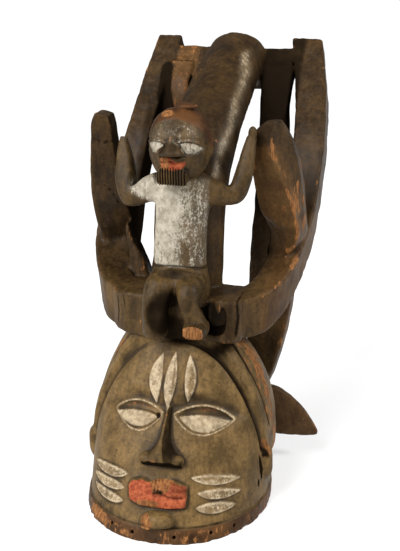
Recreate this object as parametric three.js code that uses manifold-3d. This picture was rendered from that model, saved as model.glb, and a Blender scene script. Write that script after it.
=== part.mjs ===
// A carved wooden helmet mask: a hollow head with a stylised face, and a tall openwork crest on its crown.
// Millimetres, +Z up, the face towards -Y. The whole mask is one block of wood, so it is one closed mesh.
import * as THREE from 'three';
import { mergeVertices } from 'three/addons/utils/BufferGeometryUtils.js';
import Module from 'manifold-3d';

// Helmet: the hollow head, open below
const helmetWidth = 195;
const helmetDepth = 222;
const helmetHeight = 190;
const wall = 13;
const crownWall = 22;
const rimHeight = 15;
const rimProud = 2;
const hairProud = 3;

// Face carving: how deep each piece is rooted in the wall and how far it stands out
const carvingRoot = 6;
const noseProud = 15;
const lipsProud = 9;
const chinProud = 9;
const eyeProud = 5;
const markProud = 1.6;
const earProud = 6;

// Crest: hub, side bars, leaves, tongue, back board, legs and tails
const crestWidth = 242;
const crestDepth = 270;
const crestHeight = 295;
const crestSink = 4;
const crestOverhang = 20;
const crestFront = 3;
const hubWidth = 135;
const hubDepth = 58;
const hubThick = 46;
const recessWidth = 28;
const recessDeep = 24;
const recessMargin = 5;
const recessSide = 14;
const barWidth = 35;
const barThick = 34;
const leafThick = 15;
const leftLeafThick = 22;
const tongueWidth = 76;
const tongueThick = 15;
const tongueLean = 6.5;
const boardThick = 22;
const boardHeight = 45;
const boardWidth = 145;
const tailThick = 17;

// Seated figure on the hub
const figureHeight = 236;
const figureLift = 10;

const wood = new THREE.MeshStandardMaterial({ color: 0x4a3524, roughness: 0.6, metalness: 0 });
const wasm = await Module();
wasm.setup();
const V = (x, y, z) => new THREE.Vector3(x, y, z);

// A closed mesh as a solid, turned the right way out
function solid(geometry) {
  geometry.deleteAttribute('normal');
  geometry.deleteAttribute('uv');
  const merged = mergeVertices(geometry, 1e-4);
  const points = merged.getAttribute('position').array;
  const corners = Uint32Array.from(merged.index.array);
  const [a, b, c] = [V(), V(), V()];
  let volume = 0;
  for (let i = 0; i < corners.length; i += 3) {
    [a, b, c].forEach((corner, k) => corner.fromArray(points, 3 * corners[i + k]));
    volume += a.dot(b.cross(c));
  }
  if (volume < 0) {
    for (let i = 0; i < corners.length; i += 3) {
      [corners[i], corners[i + 1]] = [corners[i + 1], corners[i]];
    }
  }
  return new wasm.Manifold(new wasm.Mesh({ numProp: 3, vertProperties: points, triVerts: corners }));
}

// Skin over a row of rings with equally many points, closed by a fan at each end
function loft(rings) {
  const count = rings[0].length;
  const middles = [rings[0], rings.at(-1)].map((ring) => {
    return ring.reduce((sum, point) => sum.add(point), V(0, 0, 0)).divideScalar(count);
  });
  const points = [...rings.flat(), ...middles];
  const last = (rings.length - 1) * count;
  const start = rings.length * count;
  const faces = [];
  for (let j = 0; j < count; j++) {
    const next = (j + 1) % count;
    for (let i = 0; i < last; i += count) {
      faces.push(i + j, i + next, i + count + next, i + j, i + count + next, i + count + j);
    }
    faces.push(start, next, j, start + 1, last + j, last + next);
  }
  const geometry = new THREE.BufferGeometry().setFromPoints(points);
  geometry.setIndex(faces);
  return solid(geometry);
}

// Sections, as shares of a half-width and a half-depth
const oval = (sides) => Array.from({ length: sides }, (_, i) => {
  const angle = (2 * Math.PI * i) / sides;
  return [Math.cos(angle), Math.sin(angle)];
});
const plank = (corner) => [[1, corner - 1], [1, 1 - corner], [1 - corner, 1], [corner - 1, 1],
  [-1, 1 - corner], [-1, corner - 1], [corner - 1, -1], [1 - corner, -1]];

// A section carried through stations, each a place with a half-width and a half-depth vector
function sweep(stations, section, steps) {
  const values = stations.flatMap(([at, wide, deep]) => [...at, ...wide, ...deep]);
  const path = new THREE.CubicInterpolant(stations.map((_, i) => i), values, 9);
  const rings = [];
  for (let i = 0; i <= (stations.length - 1) * steps; i++) {
    const [x, y, z, wx, wy, wz, dx, dy, dz] = path.evaluate(i / steps);
    rings.push(section.map(([u, v]) => V(x + u * wx + v * dx, y + u * wy + v * dy, z + u * wz + v * dz)));
  }
  return loft(rings);
}

// Direction of a path of points at one of them
const heading = (points, i) => {
  return points[Math.min(i + 1, points.length - 1)].clone().sub(points[Math.max(i - 1, 0)]).normalize();
};

// A limb of oval section through points with radii
function limb(points, radii, steps = 2) {
  return sweep(points.map((point, i) => {
    const along = heading(points, i);
    const wide = V(0, -1, 0).cross(along).normalize();
    const deep = along.cross(wide);
    return [point, wide.multiplyScalar(radii[i]), deep.multiplyScalar(radii[i])];
  }), oval(8), steps);
}

function ellipsoid(at, radii, sides = 10) {
  const geometry = new THREE.SphereGeometry(1, sides, Math.ceil(sides * 0.6));
  geometry.scale(...radii);
  return solid(geometry.translate(...at));
}

const join = (pieces) => pieces.reduce((whole, piece) => whole.add(piece));
const onBothSides = (make) => [-1, 1].flatMap(make);

// Helmet: share of the height, then half-width, front and back as shares of those at the rim
const helmetProfile = [[0, 0.995, -1, 1], [0.1, 0.99, -0.93, 1.02], [0.21, 0.99, -0.83, 1.03],
  [0.32, 0.99, -0.72, 1.02], [0.42, 0.985, -0.62, 1], [0.55, 0.95, -0.49, 0.95], [0.68, 0.88, -0.37, 0.86],
  [0.8, 0.78, -0.27, 0.73], [0.9, 0.67, -0.18, 0.58], [1, 0.52, -0.08, 0.38]];
const helmetCurve = new THREE.CubicInterpolant(helmetProfile.map((row) => row[0]),
  helmetProfile.flatMap((row) => row.slice(1)), 3);
const roundness = 2.1;
const rounded = (value) => Math.sign(value) * Math.abs(value) ** (2 / roundness);
const hairlineBack = 0.04;

function helmetAt(height) {
  const [side, front, back] = helmetCurve.evaluate(THREE.MathUtils.clamp(height, 0, 1));
  const half = helmetDepth / 2;
  return { wide: (side * helmetWidth) / 2, middle: ((front + back) * half) / 2, deep: ((back - front) * half) / 2 };
}

function helmetRing(height, grow, sides) {
  const { wide, middle, deep } = helmetAt(height);
  return oval(sides).map(([u, v]) => {
    return V(rounded(u) * (wide + grow), middle + rounded(v) * (deep + grow), height * helmetHeight);
  });
}

function makeHelmet() {
  const sides = 34;
  const rim = rimHeight / helmetHeight;
  const rises = [0.1, 0.2, 0.31, 0.43, 0.55, 0.66, 0.76, 0.85, 0.93, 1];
  const outside = [
    ...[0, rim].map((height) => helmetRing(height, rimProud, sides)),
    ...rises.map((height) => helmetRing(Math.max(height, rim + 0.01), 0, sides)),
  ];
  const hair = loft([0.27, ...rises.slice(2)].map((height) => helmetRing(height, hairProud, sides)));
  const behind = new THREE.BoxGeometry(2 * helmetWidth, 2 * helmetDepth, 2 * helmetHeight);
  behind.translate(0, helmetDepth * (1 - hairlineBack), helmetHeight);
  return loft(outside).add(hair.intersect(solid(behind)));
}

function makeHollow() {
  const ceiling = 1 - crownWall / helmetHeight;
  const levels = [-0.05, 0.12, 0.3, 0.47, 0.63, 0.78, 0.9, 1].map((share) => share * ceiling);
  return loft(levels.map((level) => {
    return helmetRing(Math.max(level, 0), -wall, 20).map((point) => point.setZ(level * helmetHeight));
  }));
}

// A point on the face: x as a share of the half-width, z of the height, raised by lift along the wall's normal
function onFace(x, z, lift = 0) {
  const bare = (across, up) => {
    const { wide, middle, deep } = helmetAt(up);
    const side = Math.min(Math.abs((across * helmetWidth) / 2 / wide), 0.999);
    const front = middle - deep * (1 - side ** roundness) ** (1 / roundness);
    return V((across * helmetWidth) / 2, front, up * helmetHeight);
  };
  const step = 0.01;
  const along = bare(x + step, z).sub(bare(x - step, z));
  const rise = bare(x, z + step).sub(bare(x, z - step));
  const normal = along.cross(rise).normalize();
  return { at: bare(x, z).addScaledVector(normal, lift), normal, rise: rise.normalize() };
}

// A lens-shaped carving on the face, its cross-section given as shares of its size and heights
function lens({ x, z, length, breadth, turn, heights, taper }) {
  const outline = oval(14).map(([u, v]) => [(u * length) / 2, (Math.sign(v) * Math.abs(v) ** taper * breadth) / 2]);
  return loft(heights.map(([size, lift]) => outline.map(([u, v]) => {
    const across = size * (u * Math.cos(turn) - v * Math.sin(turn));
    const up = size * (u * Math.sin(turn) + v * Math.cos(turn));
    return onFace(x + across / (helmetWidth / 2), z + up / helmetHeight, lift).at;
  })));
}

function makeEyes() {
  const heights = [[1, -carvingRoot], [0.97, 0.5 * eyeProud], [0.86, 0.5 * eyeProud], [0.8, 0.1],
    [0.66, 0.6 * eyeProud], [0.35, 0.95 * eyeProud], [0.04, eyeProud]];
  return onBothSides((side) => lens({
    x: side * 0.37, z: 0.573, length: 62, breadth: 31, turn: side * -0.1, heights, taper: 1.2,
  }));
}

function makeNose() {
  // Height on the face, half-width and how far it stands out, as a share of the nose's projection
  const stations = [[0.66, 4, 0.08], [0.6, 4.5, 0.33], [0.53, 5, 0.58], [0.46, 8, 0.86], [0.41, 17, 1.05],
    [0.38, 21, 1], [0.36, 19, 0.5]];
  const section = [[-1, -1], [-1, 0], [-0.6, 0.65], [-0.25, 1], [0.25, 1], [0.6, 0.65], [1, 0], [1, -1]];
  return sweep(stations.map(([z, half, proud]) => {
    const depth = proud * noseProud + carvingRoot;
    const { at, normal } = onFace(0, z, depth / 2 - carvingRoot);
    return [at, V(half, 0, 0), normal.multiplyScalar(depth / 2)];
  }), section, 1);
}

function makeLips() {
  const across = [-0.31, -0.16, 0, 0.16, 0.31];
  const lip = (level, halfHeight, bend, share) => sweep(across.map((x) => {
    const inward = 1 - Math.abs(x) / across.at(-1);
    const depth = share * (0.6 + 0.4 * inward) * lipsProud + carvingRoot;
    const { at, normal, rise } = onFace(x, level + bend * inward, depth / 2 - carvingRoot);
    return [at, rise.multiplyScalar(halfHeight), normal.multiplyScalar(depth / 2)];
  }), plank(0.35), 1);
  return [lip(0.255, 5.5, 0.01, 0.9), lip(0.192, 5.5, -0.012, 1), lip(0.223, 3, 0, 0.45)];
}

function makeChin() {
  return ellipsoid(onFace(0.04, 0.112, chinProud / 3).at, [17, chinProud, 9]);
}

function makeMarks() {
  const heights = [[1, -carvingRoot], [0.9, markProud], [0.35, markProud], [0.06, 0.2]];
  const brow = [[-0.14, 0.775, 47, 14, -0.08], [0.01, 0.765, 54, 13, -0.06], [0.17, 0.78, 44, 12, 0.08]];
  const forehead = brow.map(([x, z, length, breadth, lean]) => lens({
    x, z, length, breadth, turn: Math.PI / 2 + lean, heights, taper: 1.3,
  }));
  const cheeks = onBothSides((side) => [[0.575, 0.3], [0.62, 0.228], [0.61, 0.158]].map(([x, z]) => lens({
    x: side * x, z, length: 44, breadth: 12, turn: side * -0.12, heights, taper: 1.3,
  })));
  return [...forehead, ...cheeks];
}

function makeEars() {
  const rows = [[0.17, 0.2, 3], [0.21, 0.9, 7], [0.28, 1, 8], [0.34, 0.9, 7], [0.375, 0.2, 3]];
  return onBothSides((side) => sweep(rows.map(([z, proud, half]) => {
    const { wide, middle } = helmetAt(z);
    const at = V(side * (wide - carvingRoot), middle - helmetDepth * 0.07, z * helmetHeight);
    return [at, V(side * (earProud * proud + carvingRoot), 0, 0), V(0, half, 0)];
  }), oval(8), 1));
}

// Crest: places as hundredths of half its width, of its depth and of its height
const crestFoot = helmetHeight - crestSink;
const inCrest = (x, y, z) => V(
  (x * crestWidth) / 200,
  (y * crestDepth) / 100 - crestOverhang,
  crestFoot + (z * crestHeight) / 100,
);
const toSide = (side, ...vectors) => vectors.map((vector) => V(side * vector.x, vector.y, vector.z));

// The hub's rows across the crown: place as a share of half its width, how far its front is set back as a share
// of its depth, and its height as a share of its thickness
const hubPath = [[-1.06, 0.29, 0.83], [-0.98, 0.17, 0.91], [-0.83, 0.05, 1], [-0.5, 0, 1], [0.85, 0, 1],
  [1.01, 0.16, 0.91]];
const hubLean = 0.05;

function makeHub() {
  const front = crestFront - crestOverhang;
  const station = (x, from, to, height) => [
    V(x, (from + to) / 2, crestFoot + hubThick / 2),
    V(0, (to - from) / 2, 0),
    V(0, hubLean * height / 2, height / 2),
  ];
  const block = sweep(hubPath.map(([share, inset, height]) => {
    return station((share * hubWidth) / 2, front + inset * hubDepth, front + hubDepth, height * hubThick);
  }), plank(0.09), 1);
  const recessEnd = hubWidth / 2 - recessSide;
  const recess = sweep([recessEnd - recessWidth, recessEnd].map((x) => {
    return station(x, front - recessDeep, front + recessDeep, hubThick - 2 * recessMargin);
  }), plank(0.09), 1);
  return block.subtract(recess);
}

// Side bars: outward place of the front face and share of the bar's width, on the left and on the right,
// its depth and height, how it runs across, and how steeply the bar's thickness falls back from it
const barPath = [
  { out: [45, 46], width: [1, 1], y: 12, z: 14.5, across: [0.7, -0.7, 0], back: 0.1 },
  { out: [62, 63], width: [1, 1], y: 17, z: 16.5, across: [0.78, -0.62, 0], back: 0.1 },
  { out: [73, 74], width: [1.05, 1], y: 24.5, z: 20.5, across: [0.9, -0.42, 0], back: 0.35 },
  { out: [79, 80.5], width: [1.2, 1.08], y: 33.5, z: 27, across: [0.97, -0.2, 0.1], back: 0.7 },
  { out: [80, 86], width: [1.15, 1.05], y: 43.5, z: 37.5, across: [1, -0.08, 0.12], back: 0.9 },
  { out: [78, 88], width: [0.95, 1], y: 53, z: 50.5, across: [1, 0, 0.1], back: 1 },
  { out: [74, 88], width: [0.85, 1], y: 62.5, z: 63.5, across: [1, 0, 0.05], back: 1 },
  { out: [71, 82], width: [0.82, 1], y: 79, z: 79, across: [1, 0, 0], back: 1 },
  { out: [65.5, 70.5], width: [0.82, 1], y: 98, z: 96, across: [1, 0, 0], back: 1 },
];

function makeBar(side) {
  const hand = side < 0 ? 0 : 1;
  return sweep(barPath.map(({ out, width, y, z, across, back }) => {
    const wide = V(...across).normalize().multiplyScalar((width[hand] * barWidth) / 2);
    const fall = V(0, back, -1).normalize();
    const halfDepth = THREE.MathUtils.lerp(hubThick, barThick, back) / 2;
    const middle = inCrest(out[hand], y, z).addScaledVector(fall, halfDepth);
    return toSide(side, middle, wide, fall.multiplyScalar(halfDepth));
  }), plank(0.12), 2);
}

// Leaves: inner edge, ridge and outer edge of the front from the foot to the tip
const rightLeaf = [
  [[62, 36, 24], [84, 31, 25], [92, 40, 24]],
  [[67, 32.5, 34], [94, 26, 34], [98, 34.5, 33]],
  [[61, 27, 42], [92, 23.5, 43], [97, 32, 42]],
  [[57, 24.5, 50], [86, 21.5, 51], [96, 30, 50.5]],
  [[55, 22, 58], [79, 19.5, 58.5], [93, 28, 59]],
  [[54.5, 20, 65], [71, 18, 65.5], [88, 26, 67]],
  [[57, 19, 71], [71, 18, 71], [82, 23.5, 72.5]],
  [[66, 19.5, 75], [74, 19, 76], [78, 21.5, 75.5]],
];
const leftLeaf = [
  [[64, 38, 24], [86, 31, 25], [93, 40, 24]],
  [[60, 33, 34], [91, 28, 34], [95, 36, 33]],
  [[62, 27.5, 42], [92, 24.5, 43], [95, 31, 42]],
  [[65, 25, 50], [91, 22, 51], [93, 29, 50.5]],
  [[67, 23, 58], [89, 20, 58.5], [91, 27, 59]],
  [[68, 21.5, 65], [87.5, 19, 66], [89, 25, 67]],
  [[69, 20, 71], [86, 18.5, 72], [88, 23, 72]],
  [[71, 19.5, 75], [82, 18.5, 76], [84, 21.5, 75.5]],
];

function makeLeaf(side) {
  const back = V(0, side < 0 ? leftLeafThick : leafThick, 0);
  return loft((side < 0 ? leftLeaf : rightLeaf).map((row) => {
    const [inner, ridge, outer] = row.map((place) => inCrest(...place));
    return toSide(side, inner, ridge, outer, outer.clone().add(back), inner.clone().add(back));
  }));
}

// Tongue: depth and height of its edges, share of its width and bulge, along the plank behind the figure
const tonguePath = [[16.5, 8, 1, 12], [17.5, 24, 1, 14], [20.5, 44, 1, 16], [24.5, 55.5, 1, 18], [33.5, 65, 1, 20],
  [46, 73, 0.97, 22], [63, 81, 0.95, 22], [78, 87, 0.92, 22], [92.5, 92, 0.9, 20]];

function makeTongue() {
  const section = [[1, -0.2], [0.97, 0.15], [0.82, 0.6], [0.5, 0.9], [0, 1], [-0.5, 0.9], [-0.82, 0.6],
    [-0.97, 0.15], [-1, -0.2], [-0.6, -0.45], [0.6, -0.45]];
  const [low, high] = [44, 92];
  const places = tonguePath.map(([y, z]) => {
    return inCrest(0, y, z).setX(tongueLean * Math.max((z - low) / (high - low), 0));
  });
  const deeper = (tongueThick * 2) / 3;
  return sweep(tonguePath.map(([, , width, bulge], i) => {
    const along = heading(places, i);
    const out = V(0, -along.z, along.y).normalize();
    return [places[i].clone().addScaledVector(out, -deeper / 2), V((width * tongueWidth) / 2, 0, 0),
      out.multiplyScalar(bulge + deeper / 2)];
  }), section, 2);
}

function makeBackBoard() {
  const slope = V(0, 1, 1).normalize();
  const out = V(0, -1, 1).normalize();
  const middle = inCrest(0, 87.5, 87).addScaledVector(out, -boardThick / 2);
  return sweep([-1, 1].map((share) => [
    middle.clone().setX((share * boardWidth) / 2),
    slope.clone().multiplyScalar(boardHeight / 2),
    out.clone().multiplyScalar(boardThick / 2),
  ]), plank(0.15), 1);
}

// Back legs: inner edge, outer edge on the left and on the right, depth and height of the front face, from the
// board down to the helmet
const legPath = [[34, 58, 62, 86, 87], [35, 55, 62, 78, 79], [36, 52, 62, 74.5, 70], [37, 52, 66, 71, 56],
  [37, 56, 70, 66, 40], [36.5, 57, 75, 61, 23], [37, 60, 79, 56.5, 8], [38.5, 64, 76, 51, -8],
  [41, 66, 70, 44.5, -21], [44, 62, 62, 40.5, -31], [44, 60, 60, 40, -39]];

function makeLeg(side) {
  const rows = legPath.map(([inner, left, right, y, z]) => {
    const outer = side < 0 ? left : right;
    return { half: ((outer - inner) * crestWidth) / 400, at: inCrest((inner + outer) / 2, y, z) };
  });
  return sweep(rows.map(({ half, at }, i) => {
    const along = heading(rows.map((row) => row.at), i);
    const back = V(0, -along.z, along.y).normalize().multiplyScalar(boardThick / 2);
    return toSide(side, at.clone().add(back), V(half, 0, 0), back);
  }), plank(0.15), 2);
}

// Tails: the leaf-shaped ends of the back legs, flaring out behind the helmet
const tailPath = [[42, 42.5, -39, 20], [56, 43.5, -40.5, 27], [72, 44.5, -41.5, 28], [92, 46, -45, 20],
  [102, 47.5, -48.5, 11], [110, 48.5, -51, 2]];

function makeTail(side) {
  return sweep(tailPath.map(([x, y, z, half], i) => {
    const thin = THREE.MathUtils.lerp(1, 0.4, i / (tailPath.length - 1));
    return [inCrest(side * x, y, z), V(0, 0, half), V(0, (thin * tailThick) / 2, 0)];
  }), plank(0.25), 1);
}

// Seated figure: places as hundredths of its height, from the soles, and sizes in the same measure
const figureUnit = figureHeight / 100;
const inFigure = (x, y, z) => V(x * figureUnit, y * figureUnit, crestFoot + figureLift + z * figureUnit);
const sizes = (...values) => values.map((value) => value * figureUnit);
const places = (rows) => rows.map((row) => inFigure(...row));

function makeBody() {
  const rows = [[1.3, -1, 11, 12, 8], [1.3, -3, 20, 13.2, 9.5], [1, -1.5, 29, 11.6, 8.5], [1, -1, 38, 11.4, 8.5],
    [1.6, -0.5, 50, 11.4, 9], [2.5, 0, 60, 12.6, 9], [3, 0, 66, 12, 8], [3, -1, 70, 6, 6]];
  const torso = sweep(rows.map(([x, y, z, wide, deep]) => {
    return [inFigure(x, y, z), V(wide * figureUnit, 0, 0), V(0, deep * figureUnit, 0)];
  }), oval(12), 1);
  const left = [[-4, -5, 20.5], [-3.5, -13.5, 19], [-4, -15.5, 13.5], [-5, -13, 6], [-5, -11, 0.5]];
  const right = [[7.5, -6, 21], [8.2, -15, 19.5], [8.5, -17, 14], [9.5, -15.5, 8], [10.5, -15.5, 3]];
  const foot = ellipsoid(inFigure(10.6, -17, 3), sizes(5.2, 7, 3));
  const legs = [limb(places(left), sizes(6.5, 7.6, 7, 6.4, 5.5)), limb(places(right), sizes(6, 5.6, 4.9, 4.2, 4.2))];
  return [torso, ...legs, foot];
}

function makeArms() {
  const right = [[11, -1, 64.5], [18, -0.5, 64], [25.5, 0.5, 64], [28.5, 2.5, 70], [30.5, 6, 79], [32.3, 9, 87]];
  const left = [[-8, -1, 64], [-14, -0.5, 61.5], [-22, 0, 57.5], [-25, 2.5, 65], [-26, 5.5, 72], [-26, 8.5, 79]];
  return [
    limb(places(right), sizes(5, 4.7, 4, 3.4, 3, 3.2)), ellipsoid(inFigure(32.8, 9.5, 88), sizes(3.2, 3, 4)),
    limb(places(left), sizes(5, 4.6, 4.4, 4.4, 4, 3)), ellipsoid(inFigure(-26.5, 9.5, 80), sizes(3, 3, 4)),
  ];
}

function makeHead() {
  const skull = ellipsoid(inFigure(1.5, -4, 82.5), sizes(12.6, 11.8, 13.8), 14);
  const cap = ellipsoid(inFigure(1.7, -3, 87.5), sizes(13, 12, 9.2), 14);
  const neck = limb(places([[2.5, -2, 66], [2, -2, 74]]), sizes(6, 7), 1);
  const knot = ellipsoid(inFigure(4.3, -3, 97), sizes(4.6, 3.5, 2.2), 8);
  const nose = limb(places([[1.6, -14.5, 86.5], [1.6, -16.5, 81.5], [1.6, -17, 79]]), sizes(1.2, 2.5, 3.8), 1);
  const lips = [75.5, 72.8].map((z) => ellipsoid(inFigure(1.6, -14.3, z), sizes(5, 3, 1.6), 8));
  const eyes = [-4, 7.4].map((x) => ellipsoid(inFigure(x, -12.6, 82.5), sizes(3.6, 2.4, 2.2), 8));
  const ears = [-10.8, 14].map((x) => ellipsoid(inFigure(x, -2.5, 81.5), sizes(1.6, 2.4, 3), 8));
  const beard = sweep([[71, 6, 3.5], [67, 6, 3.2], [62.5, 5, 2.6]].map(([z, wide, deep]) => {
    return [inFigure(1.4, -12.5, z), V(wide * figureUnit, 0, 0), V(0, deep * figureUnit, 0)];
  }), plank(0.3), 1);
  return [skull, cap, neck, knot, nose, beard, ...lips, ...eyes, ...ears];
}

// The whole mask
const face = [...makeEyes(), makeNose(), ...makeLips(), makeChin(), ...makeMarks(), ...makeEars()];
const crest = [makeHub(), ...onBothSides((side) => [makeBar(side), makeLeaf(side), makeLeg(side), makeTail(side)]),
  makeTongue(), makeBackBoard()];
const figure = [...makeBody(), ...makeArms(), ...makeHead()];
const whole = join([makeHelmet(), ...crest, ...figure, ...face]).subtract(makeHollow());

const { vertProperties, triVerts } = whole.getMesh();
const geometry = new THREE.BufferGeometry();
geometry.setAttribute('position', new THREE.BufferAttribute(vertProperties, 3));
geometry.setIndex(new THREE.BufferAttribute(triVerts, 1));
geometry.computeVertexNormals();
const mask = new THREE.Mesh(geometry, wood);
mask.name = 'mask';

// The origin is at the bottom, in the middle of the mask's outline
const group = new THREE.Group();
group.add(mask);
const bounds = new THREE.Box3().setFromObject(group);
const centre = bounds.getCenter(V());
mask.position.set(-centre.x, -centre.y, -bounds.min.z);
export default group;
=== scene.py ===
"""Carved helmet mask of one block of wood: a hollow head with a stylised face under a tall openwork crest.

Metres and +Z up in the frame of the CAD model. The carving is worked out in millimetres from the middle of the
rim, as distances on a grid of cells, and its painted and worn places as distances at the points of its mesh.
"""

import math

import bpy
import numpy as np
import openvdb as vdb
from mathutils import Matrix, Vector


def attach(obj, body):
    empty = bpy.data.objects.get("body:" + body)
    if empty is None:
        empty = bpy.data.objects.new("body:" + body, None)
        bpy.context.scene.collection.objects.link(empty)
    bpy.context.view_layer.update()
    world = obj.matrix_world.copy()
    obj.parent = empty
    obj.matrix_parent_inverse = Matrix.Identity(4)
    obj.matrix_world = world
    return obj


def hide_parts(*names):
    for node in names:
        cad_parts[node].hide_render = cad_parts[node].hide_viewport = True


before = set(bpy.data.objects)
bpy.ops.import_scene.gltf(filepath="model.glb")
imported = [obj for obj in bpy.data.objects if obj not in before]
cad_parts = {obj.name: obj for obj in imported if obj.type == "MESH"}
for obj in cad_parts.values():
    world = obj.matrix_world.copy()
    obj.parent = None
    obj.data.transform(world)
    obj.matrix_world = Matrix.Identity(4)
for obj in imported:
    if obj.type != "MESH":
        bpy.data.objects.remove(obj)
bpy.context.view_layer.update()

# The block of wood that everything is carved from: one closed piece, its forms joined with soft carved seams.
# A form is a closed mesh whose distances are united with, or cut from, the distances of the block.
band = 6.0
coarse = 1.0


def cubic(keys, values, t):
    """Smooth curve through the values at the keys, read at t."""
    keys, values, t = (np.asarray(part, float) for part in (keys, values, t))
    slope = np.diff(values, axis=0) / np.diff(keys)[:, None]
    tangent = np.vstack([slope[:1], (slope[:-1] + slope[1:]) / 2, slope[-1:]])
    i = np.clip(np.searchsorted(keys, t, side="right"), 1, len(keys) - 1)
    step = (keys[i] - keys[i - 1])[:, None]
    p = (t - keys[i - 1])[:, None] / step
    return ((2 * p**3 - 3 * p**2 + 1) * values[i - 1] + (p**3 - 2 * p**2 + p) * step * tangent[i - 1]
            + (3 * p**2 - 2 * p**3) * values[i] + (p**3 - p**2) * step * tangent[i])


def loft(rings):
    """Closed skin over rows of rings, with a fan at each end."""
    rings = np.asarray(rings, float)
    rows, count = rings.shape[:2]
    a = (np.arange(rows - 1)[:, None] * count + np.arange(count)).ravel()
    b = (np.arange(rows - 1)[:, None] * count + (np.arange(count) + 1) % count).ravel()
    around, after = np.arange(count), (np.arange(count) + 1) % count
    first, last = np.full(count, rows * count), np.full(count, rows * count + 1)
    top = (rows - 1) * count
    faces = [(a, b, b + count), (a, b + count, a + count), (first, after, around),
             (last, around + top, after + top)]
    ends = np.stack([rings[0].mean(0), rings[-1].mean(0)])
    return (np.vstack([rings.reshape(-1, 3), ends]),
            np.vstack([np.stack(face, 1) for face in faces]))


def oval(sides, power=2.0):
    """Section of a rounded form, squarer where the power is above 2."""
    turn = np.linspace(0, 2 * math.pi, sides, endpoint=False)
    ring = np.stack([np.cos(turn), np.sin(turn)], 1)
    return np.sign(ring) * np.abs(ring) ** (2 / power)


def plank(corner):
    """Section of a plank with its corners cut off."""
    c = 1 - corner
    return np.array([[1, -c], [1, c], [c, 1], [-c, 1], [-1, c], [-1, -c], [-c, -1], [c, -1]])


def sweep(stations, section, steps=5):
    """Section carried through stations, each a place with a half-width and a half-depth vector."""
    rows = np.array([np.concatenate(station) for station in stations], float)
    t = np.linspace(0, len(rows) - 1, (len(rows) - 1) * steps + 1)
    rows = cubic(np.arange(len(rows)), rows, t)[:, None, :]
    section = np.asarray(section)[None, :, :]
    return loft(rows[..., :3] + section[..., :1] * rows[..., 3:6] + section[..., 1:] * rows[..., 6:])


def unit(vector):
    vector = np.asarray(vector, float)
    return vector / np.linalg.norm(vector)


def headings(points):
    """Direction of a path at each of its points."""
    points = np.asarray(points, float)
    ahead = np.vstack([points[1:], points[-1:]]) - np.vstack([points[:1], points[:-1]])
    return ahead / np.linalg.norm(ahead, axis=1)[:, None]


def limb(points, radii, flat=1.0, power=2.0):
    """Rounded limb through points with radii, flattened towards the front by a share."""
    stations = []
    for point, along, radius in zip(np.asarray(points, float), headings(points), radii):
        wide = unit(np.cross((0, -1, 0), along))
        stations.append((point, wide * radius, np.cross(along, wide) * radius * flat))
    return sweep(stations, oval(24, power))


def ellipsoid(at, radii, power=2.0):
    down = np.linspace(0.02, math.pi - 0.02, 24)[:, None, None]
    ring = oval(36, power)[None, :, :]
    across, up = np.sin(down) ** (2 / power), np.sign(np.cos(down)) * np.abs(np.cos(down)) ** (2 / power)
    points = np.concatenate([across * ring, up * np.ones((1, 36, 1))], 2)
    return loft(points * np.array(radii) + np.array(at))


def softly(here, values, soft):
    """The lower of two distances, with a fillet of the given size between them."""
    nearer = np.minimum(here, values)
    share = np.clip(0.5 + 0.5 * (values - here) / soft, 0, 1)
    within = np.clip(band - soft - np.abs(nearer), 0, 1)
    return nearer - soft * share * (1 - share) * within


class Block:
    """Distances to carved wood on a grid of cells, in millimetres and negative inside the wood."""

    def __init__(self, cell, low, high):
        self.cell = cell
        self.low = np.floor(np.array(low) / cell).astype(int)
        self.values = np.full(np.ceil(np.array(high) / cell).astype(int) - self.low, band, np.float32)

    def distances(self, form):
        """Where a closed form lies in the block, and the distances to it there."""
        points, faces = form
        grid = vdb.FloatGrid.createLevelSetFromPolygons(
            points.astype(np.float32), triangles=faces.astype(np.uint32),
            transform=vdb.createLinearTransform(voxelSize=self.cell), halfWidth=band / self.cell)
        low = np.maximum(np.floor((points.min(0) - band) / self.cell).astype(int), self.low)
        high = np.minimum(np.ceil((points.max(0) + band) / self.cell).astype(int), self.low + self.values.shape)
        values = np.full(high - low, band, np.float32)
        grid.copyToArray(values, ijk=tuple(int(v) for v in low))
        return tuple(slice(a, b) for a, b in zip(low - self.low, high - self.low)), values

    def unite(self, form, soft=2.0):
        where, values = self.distances(form)
        self.values[where] = softly(self.values[where], values, soft)

    def cut(self, form, soft=1.0):
        where, values = self.distances(form)
        self.values[where] = -softly(-self.values[where], values, soft)

    def axes(self, where):
        """Coordinates of the cells in a part of the block, along each axis."""
        return [(low + np.arange(part.start, part.stop)) * self.cell for low, part in zip(self.low, where)]

    def sample(self, field, points):
        """Values of a field on the block's cells, read at points."""
        at = np.clip(points / self.cell - self.low, 0, np.array(field.shape) - 1.001)
        base = at.astype(int)
        share = (at - base).astype(np.float32)
        total = 0
        for corner in np.ndindex(2, 2, 2):
            weight = np.prod(np.where(corner, share, 1 - share), axis=1)
            total = total + weight * field[tuple((base + corner).T)]
        return total

    def blur(self, field, reach):
        """Field averaged over a reach in millimetres about each cell."""
        spacing = max(1, round(reach / self.cell / 2))
        field = field.copy()
        for _ in range(2):
            for axis in range(3):
                field = 0.5 * field + 0.25 * (np.roll(field, -spacing, axis) + np.roll(field, spacing, axis))
        return field


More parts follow.
